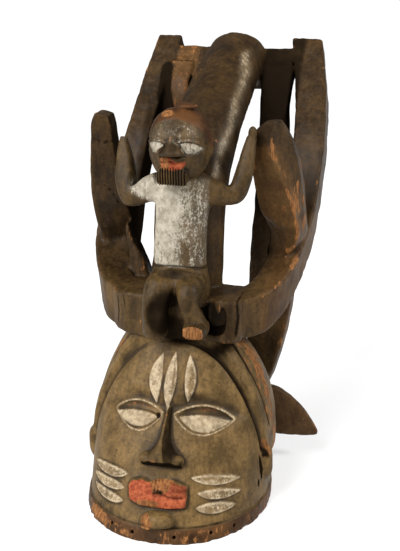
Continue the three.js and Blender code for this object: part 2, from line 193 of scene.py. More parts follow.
# Helmet: a dome that widens to the rim, its face leaning forward, with a raised rim band and a hollow inside.
# The rows give the share of the height, then half-width, front and back as shares of those at the rim.
helmet_wide, helmet_deep, helmet_high, wall = 195, 222, 190, 13
helmet_profile = np.array([
    [0, 0.995, -1, 1], [0.1, 0.99, -0.93, 1.02], [0.21, 0.99, -0.83, 1.03], [0.32, 0.99, -0.72, 1.02],
    [0.42, 0.985, -0.62, 1], [0.55, 0.95, -0.49, 0.95], [0.68, 0.88, -0.37, 0.86], [0.8, 0.78, -0.27, 0.73],
    [0.9, 0.67, -0.18, 0.58], [1, 0.52, -0.08, 0.38]])
helmet_power = 2.1


def helmet_ring(height, grow):
    side, front, back = cubic(helmet_profile[:, 0], helmet_profile[:, 1:], [np.clip(height, 0, 1)])[0]
    ring = oval(120, helmet_power)
    wide = side * helmet_wide / 2 + grow
    deep = (back - front) * helmet_deep / 4 + grow
    middle = (front + back) * helmet_deep / 4
    return np.stack([ring[:, 0] * wide, middle + ring[:, 1] * deep, np.full(120, height * helmet_high)], 1)


def face_at(x, z, lift=0.0):
    """Point on the face at x and z millimetres, raised along the face's normal, and that normal."""
    def bare(across, up):
        side, front, back = cubic(helmet_profile[:, 0], helmet_profile[:, 1:], [up / helmet_high])[0]
        wide, deep = side * helmet_wide / 2, (back - front) * helmet_deep / 4
        share = min(abs(across) / wide, 0.999)
        front = (front + back) * helmet_deep / 4 - deep * (1 - share**helmet_power) ** (1 / helmet_power)
        return np.array([across, front, up])
    normal = unit(np.cross(bare(x + 1, z) - bare(x - 1, z), bare(x, z + 1) - bare(x, z - 1)))
    return bare(x, z) + normal * lift, normal


def bump(value, width):
    return np.exp(-((value / width) ** 2))


def step(value, width):
    """0 below, 1 above, over the given width about zero."""
    t = np.clip(value / width + 0.5, 0, 1)
    return t * t * (3 - 2 * t)


def lens(x, z, middle, half, up, down, turn, blunt=1.0):
    """Distance to a lens drawn on the face: negative inside, with its own breadth above and below its chord."""
    dx, dz = x - middle[0], z - middle[1]
    u = dx * math.cos(turn) + dz * math.sin(turn)
    v = dz * math.cos(turn) - dx * math.sin(turn)
    breadth = np.where(v > 0, up, down)
    arch = np.sign(1 - (u / half) ** 2) * np.abs(1 - (u / half) ** 2) ** blunt
    return (np.abs(v) - breadth * arch) / np.sqrt(1 + (2 * breadth * u / half**2) ** 2)


def near(x, z, places):
    """Distance to a line through places on the front."""
    best = np.full(x.shape, 1e9)
    for (x0, z0), (x1, z1) in zip(places, places[1:]):
        ex, ez = x1 - x0, z1 - z0
        share = np.clip(((x - x0) * ex + (z - z0) * ez) / (ex * ex + ez * ez), 0, 1)
        best = np.minimum(best, (x - x0 - share * ex) ** 2 + (z - z0 - share * ez) ** 2)
    return np.sqrt(best)


def inside(x, z, corners):
    """Distance to an outline on the face, negative inside it."""
    inner = np.zeros(x.shape, bool)
    for (x0, z0), (x1, z1) in zip(corners, corners[1:] + corners[:1]):
        if z0 != z1:
            inner ^= ((z0 > z) != (z1 > z)) & (x < (x1 - x0) * (z - z0) / (z1 - z0) + x0)
    return np.where(inner, -1, 1) * near(x, z, corners + corners[:1])


# Face carving in low relief: almond eyes in sunken sockets, three marks on the brow and three on each cheek,
# each dished between raised edges, and the lips with their chipped middle.
eyes = {-1: dict(middle=(-33, 112), half=28.5, up=11, down=16.5, turn=0.11),
        1: dict(middle=(37, 111.5), half=31, up=12, down=14.5, turn=-0.117)}
eyeballs = {-1: dict(middle=(-34, 109.5), half=25.5, up=4, down=11.8, turn=0.1),
            1: dict(middle=(38, 110), half=27, up=4.5, down=11.5, turn=-0.11)}
marks = [dict(middle=(-13, 146.5), half=24, up=11, down=2.5, turn=1.53),
         dict(middle=(0, 145), half=28, up=6.5, down=5, turn=1.51),
         dict(middle=(18, 148), half=22.5, up=3.5, down=7.5, turn=1.63),
         dict(middle=(-58, 53.5), half=23, up=4, down=5.5, turn=0.12, blunt=0.65),
         dict(middle=(-58.5, 41.5), half=21.5, up=4.5, down=4.5, turn=0.1, blunt=0.65),
         dict(middle=(-57, 31), half=20.5, up=4, down=5, turn=0.04, blunt=0.65),
         dict(middle=(55.5, 56.5), half=22.5, up=4.5, down=4.5, turn=-0.15, blunt=0.75),
         dict(middle=(60, 43), half=19, up=4.5, down=4.5, turn=-0.15, blunt=0.75),
         dict(middle=(58.5, 30.5), half=17.5, up=5, down=5, turn=-0.12, blunt=0.75)]
lips = [(-31, 48.5), (-28, 53), (-17, 56), (-8, 54), (0, 56.5), (12, 57.5), (21, 55.5), (30, 52.5), (31, 43),
        (30.5, 34.5), (14, 34), (-2, 33), (-17, 34.5), (-28.5, 37)]


upper_chip = [(-10, 60), (17, 60), (12, 50), (6, 45), (-4, 46)]


def parting(x, z):
    """Height above the line between the lips."""
    return z - 43.5 - 2.5 * bump(x - 1, 14)


def crack_away(y, z):
    """Distance along the depth to the crack behind the hair's front strand."""
    return y - 6 + 0.05 * (z - 100)


# How far forward of the helmet's middle the groove across the hair is.
hair_groove = 11.5


def relief(x, z):
    """How far the face stands out from the bare dome, in millimetres."""
    rise = np.zeros(x.shape)
    for side, eye in eyes.items():
        rim = lens(x, z, **eye)
        above = step(z - eye["middle"][1] + side * 0.1 * (x - eye["middle"][0]) - 1, 12)
        around = step(-rim + 8, 16) * above * 3.6 + step(-rim + 3, 6) * (1 - above) * 1.2
        ball = lens(x, z, **eyeballs[side])
        lid = -2.2 * above - 1.2 * (1 - above) - 2.4 * step(-rim - 2, 5) * above
        swell = 4.2 * np.clip(-ball / 8, 0, 1) ** 0.6
        well = np.where(ball < 0, lid - 1.4 + swell, lid - 1.6 * bump(ball, 1.3))
        rise = np.where(rim > 0, rise - around, well)
        rise += 1.9 * bump(rim + 0.6, 1.1)
    for mark in marks:
        edge = lens(x, z, **mark)
        rise += 2.0 * step(-edge, 1.2) - 0.9 * step(-edge - 1.2, 1.6)
        rise -= 0.9 * bump(edge - 0.8, 0.8)
    mouth = inside(x, z, lips)
    across = x - 1
    line = parting(x, z)
    full = np.where(line > 0, 9.5 - 0.30 * line, 10.5 + 0.32 * line)
    full = full - 2.5 * (across / 30) ** 2 - 5.5 * bump(across + 1, 10)
    full += 1.5 * step(np.abs(across) - 12, 3) - 0.06 * np.maximum(np.abs(across) - 20, 0) ** 1.5
    rise += np.maximum(full, 0) * step(-mouth, 1.5)
    rise -= 3.4 * bump(line, 1.6) * step(-mouth - 0.5, 2) * (0.35 + 0.65 * step(np.abs(across + 4) - 5, 12))
    chip = inside(x, z, upper_chip)
    rise -= (3.2 + 1.2 * np.sin(x * 1.9)) * step(-chip, 1.2) * (mouth < 0)
    rise += 1.6 * bump(z - 66, 7) * bump(x - 1, 16)
    rise -= 1.0 * bump(x - 1, 30) * bump(z - 62, 6)
    return rise


helmet = Block(0.7 * coarse, (-106, -124, -4), (106, 124, 196))
outside = [helmet_ring(height, 2) for height in (0, 0.04, 0.075)]
outside += [helmet_ring(height, 0.0) for height in np.linspace(0.082, 1, 46)]
where, bare = helmet.distances(loft(outside))
x, y, z = helmet.axes(where)
height = relief(*np.meshgrid(x, z, indexing="ij")) * step(z - 17, 3)
x, y, z = x[:, None, None], y[None, :, None], z[None, None, :]
carved = bare - height[:, None, :] * step(-y - 12, 16) * np.clip((band - np.abs(bare)) / 2, 0, 1)
above_ears = np.maximum(58 - z, 0.25 * (y - 70))
hair = np.maximum(np.maximum(bare - 3.0, -(y + 2)), above_ears)
strand = np.maximum(np.maximum(bare - 4.6, np.abs(y + 5.5) - 4.2), 46 - z)
crack = bump(crack_away(y, z), 0.8) * 1.8 * step(z - 90, 8)
groove = np.maximum(-bare - 2.2, np.abs(y + hair_groove) - 1.3) + 0 * z
carved = np.maximum(carved, -np.maximum(groove, 62 - z))
helmet.values[where] = np.minimum(np.minimum(carved, hair + crack), strand).astype(np.float32)


# Nose: a long wedge with a thin ridge, broad wings and two nostrils under its flat base.
nose_rows = [(123, 3, 1), (115, 3.5, 7), (103, 4.5, 11), (92, 6.5, 14), (84, 11, 16.5), (78, 17, 18),
             (73.5, 21.5, 18), (70.5, 22.5, 16), (69, 21.5, 11)]
nose_section = [[-1, -1], [-1, -0.35], [-0.62, 0.3], [-0.2, 0.95],
                [0.2, 0.95], [0.62, 0.3], [1, -0.35], [1, -1]]
stations = []
for z_row, half, proud in nose_rows:
    depth = proud + 7
    at, normal = face_at(1, z_row, depth / 2 - 7)
    stations.append((at, (half, 0, 0), normal * depth / 2))
helmet.unite(sweep(stations, nose_section, 4), 1.2)
for side in (-1, 1):
    helmet.unite(ellipsoid(face_at(1 + side * 16.5, 74.5, 4)[0], (7, 6, 5.5)), 2)
    helmet.cut(ellipsoid(face_at(1 + side * 9.5, 67, 9.5)[0], (7, 6, 4.5)), 1.5)

# Chin: a small knob under the lips, and the ears: flaps low on each side with a slit before them.
helmet.unite(ellipsoid(face_at(5, 21.5, 1)[0], (17, 9.5, 8.5)), 2.5)
ear_rows = [(32, 0.2, 4), (40, 0.9, 8), (53, 1, 9), (65, 0.9, 8), (72, 0.2, 4)]
for side in (-1, 1):
    stations = []
    for z_row, proud, half in ear_rows:
        wide = abs(helmet_ring(z_row / helmet_high, 0)[0, 0])
        stations.append(((side * (wide - 5), -5, z_row), (side * (6.5 * proud + 5), 0, 0), (0, half, 0)))
    helmet.unite(sweep(stations, oval(24)), 1.5)
    slit = [(side * 96, -14, 64), (side * 96.5, -17, 52), (side * 96.5, -22, 38)]
    helmet.cut(limb(slit, (3.2, 4, 3.2)), 1)

# Hollow for the wearer's head, even in thickness all round, and thicker under the crown.
ceiling = 1 - 22 / helmet_high
levels = np.linspace(-0.06, 1, 24) * ceiling
hollow = [helmet_ring(max(level, 0), -wall) for level in levels]
for ring, level in zip(hollow, levels):
    ring[:, 2] = level * helmet_high
helmet.cut(loft(hollow), 2)

# Peg holes along the rim band, each drilled straight in.
for x_hole, z_hole in ((-46, 8), (-21, 7), (23, 7), (57, 8), (76, 8), (-80, 9)):
    at, normal = face_at(x_hole, z_hole)
    helmet.cut(limb([at + normal * 5, at - normal * 1, at - normal * 6], (1.9, 1.8, 1.5)), 0.5)

# Crest: places are given as hundredths of half its width, of its depth and of its height above the crown.
crest_wide, crest_deep, crest_high, crest_foot, overhang = 242, 270, 295, 186, 20
hub_wide, hub_deep, hub_thick = 135, 58, 46


crest = Block(1.0 * coarse, (-142, -34, 24), (142, 276, 486))


def in_crest(x, y, z):
    return np.array([x * crest_wide / 200, y * crest_deep / 100 - overhang, crest_foot + z * crest_high / 100])


# Hub: a thick block across the crown. Each row is a place across, how far the front is set back there, and
# half the height.
hub_front, hub_middle = 3 - overhang, crest_foot + hub_thick / 2
hub_rows = [(-72, 17, 19), (-66, 10, 21), (-56, 3, 23), (-38, 0, 23), (0, 0, 23), (50, 0, 23),
            (63, 1.5, 23), (68, 9, 21)]
stations = [((x_row, hub_front + (hub_deep + inset) / 2, hub_middle), (0, (hub_deep - inset) / 2, 0),
             (0, 0.05 * half, half)) for x_row, inset, half in hub_rows]
crest.unite(sweep(stations, plank(0.09), 1), 1.5)

# Side bars: planks that leave the hub, bend round and rise up each side to the back board.
bar_rows = [
    ((45, 46), (1, 1), 12, 14.5, (0.7, -0.7, 0), 0.1), ((62, 63), (1, 1), 17, 16.5, (0.78, -0.62, 0), 0.1),
    ((73, 74), (1.05, 1), 24.5, 20.5, (0.9, -0.42, 0), 0.35),
    ((79, 80.5), (1.2, 1.08), 33.5, 27, (0.97, -0.2, 0.1), 0.7),
    ((80, 86), (1.15, 1.05), 43.5, 37.5, (1, -0.08, 0.12), 0.9), ((78, 88), (0.95, 1), 53, 50.5, (1, 0, 0.1), 1),
    ((74, 88), (0.85, 1), 62.5, 63.5, (1, 0, 0.05), 1), ((71, 82), (0.82, 1), 79, 79, (1, 0, 0), 1),
    ((65.5, 70.5), (0.82, 1), 98, 96, (1, 0, 0), 1)]
bar_wide, bar_thick = 35, 34
for hand, side in enumerate((-1, 1)):
    stations = []
    for out, width, y_row, z_row, across, back in bar_rows:
        wide = unit(across) * width[hand] * bar_wide / 2
        fall = unit((0, back, -1))
        half = (hub_thick + (bar_thick - hub_thick) * back) / 2
        middle = in_crest(out[hand], y_row, z_row) + fall * half
        stations.append([vector * (side, 1, 1) for vector in (middle, wide, fall * half)])
    crest.unite(sweep(stations, plank(0.1), 6), 2)

# Leaves: two blades with a ridge, standing free in front of the bars with their feet sunk in them.
# Each row is the inner edge, the ridge and the outer edge of the front, from the foot to the tip.
leaves = {1: [
    [[62, 36, 24], [84, 31, 25], [92, 40, 24]], [[67, 32.5, 34], [94, 26, 34], [98, 34.5, 33]],
    [[61, 27, 42], [92, 23.5, 43], [97, 32, 42]], [[57, 24.5, 50], [86, 21.5, 51], [96, 30, 50.5]],
    [[55, 22, 58], [79, 19.5, 58.5], [93, 28, 59]], [[54.5, 20, 65], [71, 18, 65.5], [88, 26, 67]],
    [[57, 19, 71], [71, 18, 71], [82, 23.5, 72.5]], [[66, 19.5, 75], [74, 19, 76], [78, 21.5, 75.5]]],
    -1: [
    [[64, 38, 24], [86, 31, 25], [93, 40, 24]], [[60, 33, 34], [91, 28, 34], [95, 36, 33]],
    [[62, 27.5, 42], [92, 24.5, 43], [95, 31, 42]], [[65, 25, 50], [91, 22, 51], [93, 29, 50.5]],
    [[67, 23, 58], [89, 20, 58.5], [91, 27, 59]], [[68, 21.5, 65], [87.5, 19, 66], [89, 25, 67]],
    [[69, 20, 71], [86, 18.5, 72], [88, 23, 72]], [[71, 19.5, 75], [82, 18.5, 76], [84, 21.5, 75.5]]]}
leaf_thick = {-1: 22, 1: 15}
for side, rows in leaves.items():
    rows = np.array([[in_crest(*place) for place in row] for row in rows]) * (side, 1, 1)
    t = np.linspace(0, len(rows) - 1, (len(rows) - 1) * 6 + 1)
    rows = cubic(np.arange(len(rows)), rows.reshape(len(rows), 9), t).reshape(-1, 3, 3)
    back = rows[:, [2, 0]] + (0, leaf_thick[side], 0)
    spine = rows.mean(1, keepdims=True) + (0, leaf_thick[side] * 1.1, 0)
    crest.unite(loft(np.concatenate([rows, back[:, :1], spine, back[:, 1:]], 1)), 2)

# Tongue: a broad strip, rounded across, that rises behind the figure and arches back to the board.
tongue_rows = [(16.5, 8, 1, 12), (17.5, 24, 1, 14), (20.5, 44, 1, 16), (24.5, 55.5, 1, 18), (33.5, 65, 1, 20),
               (46, 73, 0.97, 22), (63, 81, 0.95, 22), (78, 87, 0.92, 22), (92.5, 92, 0.9, 20)]
tongue_wide, tongue_thick = 76, 15
places = np.array([in_crest(5.4 * max(z_row - 44, 0) / 48, y_row, z_row) for y_row, z_row, _, _ in tongue_rows])
stations = []
for place, along, (_, _, width, bulge) in zip(places, headings(places), tongue_rows):
    out = np.array([0, -along[2], along[1]])
    deeper = tongue_thick * 2 / 3
    stations.append((place - out * deeper / 2, (width * tongue_wide / 2, 0, 0), out * (bulge + deeper / 2)))
turn = np.linspace(0, math.pi, 25)
arch = np.stack([np.cos(turn), -0.2 + 1.2 * np.sin(turn) ** 0.9], 1)
underside = [[-0.97, -0.35], [-0.6, -0.45], [0.6, -0.45], [0.97, -0.35]]
crest.unite(sweep(stations, np.vstack([arch, underside]), 6), 2)

# Back board, legs and tails: a plank across the top of the back, two legs from it down to the back of the
# helmet, and leaf-shaped ends that flare out at their feet.
board_thick, board_high, tail_thick = 22, 45, 17
slope, out = unit((0, 1, 1)), unit((0, -1, 1))
middle = in_crest(0, 87.5, 87) - out * board_thick / 2
stations = [(middle + (side * 0.6 * crest_wide / 2, 0, 0), slope * board_high / 2, out * board_thick / 2)
            for side in (-1, 1)]
crest.unite(sweep(stations, plank(0.12), 1), 2)
leg_rows = [(34, 58, 62, 86, 87), (35, 55, 62, 78, 79), (36, 52, 62, 74.5, 70), (37, 52, 66, 71, 56),
            (37, 56, 70, 66, 40), (36.5, 57, 75, 61, 23), (37, 60, 79, 56.5, 8), (38.5, 64, 76, 51, -8),
            (41, 66, 70, 44.5, -21), (44, 62, 62, 40.5, -31), (44, 60, 60, 40, -39)]
tail_rows = [(42, 42.5, -39, 20), (56, 43.5, -40.5, 27), (72, 44.5, -41.5, 28), (92, 46, -45, 20),
             (102, 47.5, -48.5, 11), (110, 48.5, -51, 2)]
for side in (-1, 1):
    rows = [(inner, left if side < 0 else right, y_row, z_row) for inner, left, right, y_row, z_row in leg_rows]
    places = np.array([in_crest(side * (inner + outer) / 2, y_row, z_row) for inner, outer, y_row, z_row in rows])
    stations = []
    for place, along, (inner, outer, _, _) in zip(places, headings(places * (0, 1, 1)), rows):
        back = unit((0, -along[2], along[1])) * board_thick / 2
        stations.append((place + back, ((outer - inner) * crest_wide / 400, 0, 0), back))
    crest.unite(sweep(stations, plank(0.13), 5), 2)
    stations = []
    for i, (x_row, y_row, z_row, half) in enumerate(tail_rows):
        thinner = tail_thick / 2 * (1 - 0.12 * i)
        stations.append((in_crest(side * x_row, y_row, z_row), (0, 0, half), (0, thinner, 0)))
    crest.unite(sweep(stations, plank(0.25), 5), 2)

# Seated figure: places as hundredths of its height from the soles, sizes in the same measure.
figure_unit, figure_lift = 2.36, 10
figure = Block(0.55 * coarse, (-84, -66, 184), (98, 36, 436))


def in_figure(x, y, z):
    return np.array([x * figure_unit, y * figure_unit, crest_foot + figure_lift + z * figure_unit])


def figure_limb(rows, radii, flat=1.0, power=2.0, soft=3.0):
    figure.unite(limb([in_figure(*row) for row in rows], np.array(radii) * figure_unit, flat, power), soft)


def figure_lump(at, radii, soft=2.0):
    figure.unite(ellipsoid(in_figure(*at), np.array(radii) * figure_unit), soft)


torso_rows = [(1.3, -1, 11, 12, 8), (1.3, -3, 20, 13.2, 9.5), (1, -1.5, 29, 11.6, 8.5), (1, -1, 38, 11.4, 8.5),
              (1.6, -0.5, 50, 11.4, 9), (2.5, 0, 60, 12.6, 9), (3, 0, 66, 12, 8), (3, -1, 70, 6, 6)]
figure.unite(sweep([(in_figure(x_row, y_row, z_row), (wide * figure_unit, 0, 0), (0, deep * figure_unit, 0))
             for x_row, y_row, z_row, wide, deep in torso_rows], oval(40, 2.3), 5), 2)
figure_limb([(-5.5, -5, 21.5), (-6, -12, 20), (-6.8, -14.5, 14), (-7.2, -13.5, 6), (-7.5, -12.5, 0)],
            (6.6, 6.4, 5.9, 5.6, 5.4), 1.1)
figure_limb([(7.5, -6, 22), (8, -14.5, 20), (8.6, -16.5, 15.5), (10.4, -15, 10.5), (12, -15, 6)],
            (6.4, 5.0, 4.0, 4.2, 4.6))
figure.unite(ellipsoid(in_figure(12.0, -17, 5.2), np.array((5.2, 7, 3.4)) * figure_unit, 3.2), 1.5)
figure.cut(ellipsoid(in_figure(1.4, -15, 10), np.array((2.6, 8, 8.5)) * figure_unit), 2)
figure.cut(ellipsoid(in_figure(-6.2, -21, 10), np.array((3.6, 2.6, 6)) * figure_unit), 3)
figure_limb([(10, -1, 63), (18, -0.5, 61.3), (24.5, 0.5, 61.5), (27.4, 2.5, 68), (28.6, 6, 77), (29.6, 9, 84)],
            (5.6, 5.0, 4.4, 4.0, 3.1, 2.3), 0.9, 2.6)
figure_lump((29.8, 9.5, 86), (1.9, 2.4, 3.0))
figure_limb([(-8, -1, 63.5), (-14, -0.5, 61), (-21.5, 0, 58), (-24.6, 2.5, 65), (-25.6, 5, 71.5),
             (-26.6, 7, 77), (-27, 8.4, 82)],
            (5.8, 5.5, 4.9, 4.7, 4.0, 2.9, 1.7), 0.8, 3)

# Head of the figure: a broad face under a close cap with a flat knob, lens-shaped eyes, a three-sided nose, full
# lips and a square beard cut into strands.
figure_limb([(2.5, -2, 62), (2, -2, 74)], (6.5, 8.5))
skull_at, skull_radii = in_figure(1.8, -4, 81.6), np.array((12.8, 12, 15.2)) * figure_unit
figure.unite(ellipsoid(skull_at, skull_radii, 2.25), 2.5)
where, cap = figure.distances(ellipsoid(skull_at + (0, 2, 1), skull_radii + (1.2, 1.2, 1.6), 2.25))
x, y, z = np.meshgrid(*figure.axes(where), indexing="ij", sparse=True)
hairline = (-4.6 * figure_unit - 0.62 * (z - crest_foot - figure_lift - 82 * figure_unit) - y) / 1.18
figure.values[where] = softly(figure.values[where], np.maximum(cap, hairline).astype(np.float32), 0.4)
figure_lump((4.3, -3, 98.4), (4.8, 3.7, 1.5), 0.6)
nose_rows = [((1.6, -15.6, 88.0), 0.9), ((1.5, -17.2, 85), 2.4), ((1.3, -18.8, 81.8), 5.4),
             ((1.3, -18.6, 80.2), 6.4)]
stations = [(in_figure(*point), (half * figure_unit, 0, 0), (0, 3 * figure_unit, 0))
            for point, half in nose_rows]
figure.unite(sweep(stations, [[-1, 1], [-0.95, 0.2], [-0.22, -0.9], [0.22, -0.9], [0.95, 0.2], [1, 1]], 5), 0.8)
for side in (-1, 1):
    nostril = ellipsoid(in_figure(1.3 + 2.6 * side, -18.6, 79.2), np.array((1.6, 1.8, 0.9)) * figure_unit)
    figure.cut(nostril, 0.5)
for side in (-1, 1):
    figure_lump((1.4 + side * 2.6, -14.6, 78.3), (3.4, 2.6, 1.6), 0.6)
figure_lump((1.6, -14.4, 75.6), (5.2, 2.9, 1.7), 0.5)
lip_line = [in_figure(x_row, -17.4 + 0.06 * (x_row - 1.6) ** 2, 77.1) for x_row in (-3.5, 0, 3, 6.8)]
figure.cut(limb(lip_line, (0.5, 0.9, 0.9, 0.5)), 0.4)
for x_row in (-11.2, 14.4):
    figure_lump((x_row, -2.5, 80.5), (1.4, 2.4, 2.7), 0.8)
    figure.cut(ellipsoid(in_figure(x_row * 1.1, -3.8, 80.5), np.array((1, 1.2, 1.7)) * figure_unit), 0.6)
beard_rows = [(74.6, 5.4, 3.0), (71, 6.4, 3.3), (67, 6.3, 2.8)]
figure.unite(sweep([(in_figure(1.2, -13.6 + 0.08 * (74.6 - z_row), z_row), (wide * figure_unit, 0, 0),
                     (0, deep * figure_unit, 0)) for z_row, wide, deep in beard_rows], plank(0.3), 4), 0.8)
figure.cut(ellipsoid(in_figure(2, -14.5, 27.3), np.array((9, 4.4, 2.0)) * figure_unit), 3)

# Hub pocket with its spike, and two thin fins behind the left bar, at its foot and near the board, that close
# gaps where the bar's side is in shade; further down they are painted dark as shade.
recess_end = hub_wide / 2 - 14
pocket = in_crest(0, 0, 0) + (recess_end - 14, 3, hub_thick / 2 + 1.5)
crest.cut(sweep([(pocket + (0, along, 0), (13.5 * wide, 0, 0), (0, 0, 17.5 * wide))
                 for along, wide in ((-30, 1), (0, 1), (20, 0.9), (24, 0.6))], oval(24, 3), 2), 2.5)
crest.unite(limb([pocket + (5, 3, 21), pocket + (6, 2, 12), pocket + (5.5, 0, 3)], (4.5, 2.6, 0.6)), 2)
web = [((-54, 52, 205), 26), ((-58, 52, 232), 24), ((-63, 55, 252), 17), ((-70, 58, 272), 9), ((-74, 60, 288), 2)]
crest.unite(sweep([(at, (half * 0.5, -2, 0), (0, 11, 0)) for at, half in web], plank(0.3), 4), 2)
gap = [(-72, 207, 430), (-70, 200, 410), (-66, 192, 392), (-62, 186, 376)]
crest.unite(sweep([(at, (7, 0, 0), (0, 9, 0)) for at in gap], plank(0.3), 4), 2)
crest.cut(loft(hollow), 2)


# The meshes: hand-cut unevenness and worn edges are moved into each along its normals, then it is thinned out.
def noise(points, size, seed):
    """Smooth random values from -1 to 1 with lumps of the given size, or sizes along the three axes."""
    lattice = np.random.default_rng(seed).uniform(-1, 1, (32, 32, 32)).astype(np.float32)
    at = points / np.asarray(size, float) + 512
    base = np.floor(at).astype(int)
    share = (at - base).astype(np.float32)
    share = share * share * (3 - 2 * share)
    total = 0
    for corner in np.ndindex(2, 2, 2):
        weight = np.prod(np.where(corner, share, 1 - share), axis=1)
        total = total + weight * lattice[tuple(((base + corner) % 32).T)]
    return total


rim_to_origin = np.array([0.0, -77.437, 0.0])


def carve(name, wood, thinned, chips, hewn, cuts=lambda x, y, z: 0):
    """Object of a block of wood, with its points in millimetres, how far they stand out as edges, and their normals.

    Thinned is its number of triangles, chips and hewn are how deep edges are worn off and how uneven the faces
    are, and cuts gives further relief at the points.
    """
    values = wood.blur(wood.values, wood.cell)
    wide = wood.blur(values, 5)
    grid = vdb.FloatGrid(band)
    grid.transform = vdb.createLinearTransform(voxelSize=wood.cell)
    grid.copyFromArray(values, ijk=tuple(int(v) for v in wood.low))
    points, triangles, quads = grid.convertToPolygons(isovalue=0.0, adaptivity=0.0)
    points = points.astype(float)
    slope = np.stack([wood.sample(values, points + axis) - wood.sample(values, points - axis)
                      for axis in np.eye(3) * 0.8], 1)
    slope /= np.maximum(np.linalg.norm(slope, axis=1), 1e-6)[:, None]
    edge = wood.sample(wide, points)
    uneven = 0.45 * noise(points, 26, 1) + 0.3 * noise(points, 11, 2) + 0.12 * noise(points, (3, 3, 9), 3)
    uneven += hewn * (np.abs(noise(points, (9, 9, 20), 5)) - 0.25)
    worn = np.clip(edge - 0.35, 0, 1) * np.clip(noise(points, (5, 5, 12), 4) + 0.2, 0, 1)
    points += slope * (uneven - chips * worn + cuts(*points.T))[:, None]
    points[:, 2] = np.maximum(points[:, 2], 0)

    full = bpy.data.meshes.new(name)
    counts = np.concatenate([np.full(len(quads), 4), np.full(len(triangles), 3)]).astype(np.int32)
    corners = np.concatenate([quads.ravel(), triangles.ravel()]).astype(np.int32)
    full.vertices.add(len(points))
    full.vertices.foreach_set("co", ((points + rim_to_origin) / 1000).astype(np.float32).ravel())
    full.loops.add(len(corners))
    full.loops.foreach_set("vertex_index", corners)
    full.polygons.add(len(counts))
    full.polygons.foreach_set("loop_start", np.concatenate([[0], np.cumsum(counts)[:-1]]).astype(np.int32))
    full.update(calc_edges=True)
    piece = bpy.data.objects.new(name, full)
    bpy.context.scene.collection.objects.link(piece)
    thin = piece.modifiers.new("thin", "DECIMATE")
    thin.ratio = min(1, thinned / (2 * len(quads) + len(triangles)))
    mesh = bpy.data.meshes.new_from_object(piece.evaluated_get(bpy.context.evaluated_depsgraph_get()))
    piece.modifiers.remove(thin)
    piece.data = mesh
    bpy.data.meshes.remove(full)
    mesh.name = name
    mesh.shade_smooth()
    place = np.empty(3 * len(mesh.vertices), np.float32)
    mesh.vertices.foreach_get("co", place)
    place = place.reshape(-1, 3) * 1000 - rim_to_origin
    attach(piece, "root")
    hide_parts("mask")
    facing = np.empty(3 * len(mesh.vertices), np.float32)
    mesh.vertices.foreach_get("normal", facing)
    return piece, place, wood.sample(wide, place), facing.reshape(-1, 3)


def paint(piece, **amounts):
    """Writes amounts of each colour to the points of a piece."""
    for name, amount in amounts.items():
        layer = piece.data.attributes.new(name, "FLOAT", "POINT")
        layer.data.foreach_set("value", np.clip(amount, -2, 2).astype(np.float32))


def spot(place, at, sizes, soft=0.3):
    """Amount that is 1 inside an ellipsoid of the given half-sizes and falls to 0 just outside it."""
    away = np.linalg.norm((place - at) / sizes, axis=1)
    return 1 - step(away - 1, soft)


def spots(place, rows):
    """Sum of spots, each row an amount, a place, half-sizes and a softness."""
    return sum(amount * spot(place, at, sizes, soft) for amount, at, sizes, soft in rows)


# Colours: a dark patina, worn to orange-brown wood on edges and chips, with kaolin white on the eyes, marks and
# the figure's trunk, red on the lips, soot, painted shade in hollows and grooves, dark cracks, and a pale strip on
# the tongue that is partly worn wood and partly painted highlight.
helmet_piece, place, edge, facing = carve("mask_helmet", helmet, 190000, 1.2, 0.25)
x, y, z = place.T
front = step(-y - 14, 10)
white, line = np.zeros(len(x)), np.zeros(len(x))
for i, mark in enumerate(marks):
    depth = -lens(x, z, **mark)
    left = step(mark["middle"][0] - x + 1, 4) if i < 3 else 0.3
    white = np.maximum(white, step(depth + 0.3, 1.2) * (0.31 + 0.46 * left))
    line = np.maximum(line, bump(depth - 0.6, 0.8))
for ball in eyeballs.values():
    white = np.maximum(white, 0.86 * step(-0.8 - lens(x, z, **ball), 1.2))
for eye in eyes.values():
    line = np.maximum(line, 1.3 * bump(lens(x, z, **eye) + 0.3, 0.8))
white = (white + 0.5 * line) * front
mouth = inside(x, z, lips)
red = step(0.2 - mouth, 1.2) * step(-y - 60, 4)
chipped = inside(x, z, upper_chip)
lower_chip = inside(x, z, [(-27, 36), (-12, 41), (4, 39), (6, 31), (-14, 28)])
bare_wood = step(-chipped, 2) * (mouth < 1) + 0.75 * step(-lower_chip, 3) * (mouth < 1)
bare_wood += 1.2 * spot(place, (-6, -106, 21), (8, 9, 8), 0.2)
nose_ridge = near(x, z, [(1, 118), (0, 90), (-3, 78), (6, 76)])
bare_wood += (0.4 + 0.3 * noise(place, 5, 7)) * bump(nose_ridge, 1.3) * front
bare_wood += 0.3 * step(13.5 - z, 2) + 0.5 * spot(place, (-66, -84, 9), (22, 20, 6), 0.5)
for side, eye in eyes.items():
    away = (x - eye["middle"][0] - 2 * side) / (13 if side > 0 else 18)
    bare_wood += 0.72 * bump(lens(x, z, **eye) + 4.5, 1.8) * (z > eye["middle"][1]) * bump(away, 1) * front
bare_wood += 0.5 * spot(place, (9, -47, 122), (4, 6, 5)) + 0.6 * spot(place, (-6, -90, 77), (5, 10, 4))
hair_band = step(y + 3, 3) * step(z - 55, 6)
bare_wood += 0.5 * hair_band * bump(y - 16, 13) * (x > 0)
bare_wood += 0.36 * hair_band * bump(y - 4, 10) * (x < 0)
bare_wood += 0.3 * step(y - 10, 20) * step(0.1 + edge, 0.3) + 0.8 * spot(place, (95, -9, 68), (9, 4, 12), 0.3)
nose_skin = inside(x, z, [(-1, 122), (4, 122), (12, 90), (24, 76), (23, 68), (-21, 68), (-20, 76), (-9, 90)])
nose_dark = step(-nose_skin, 3) * front
# Painted shade on the crown under the hub's front edge.
soot = bump(x - 3, 20) * bump(z - 188, 12) * (y < -5)
soot += 0.7 * bump(x - 50, 22) * bump(z - 178, 9) * (y < 5)
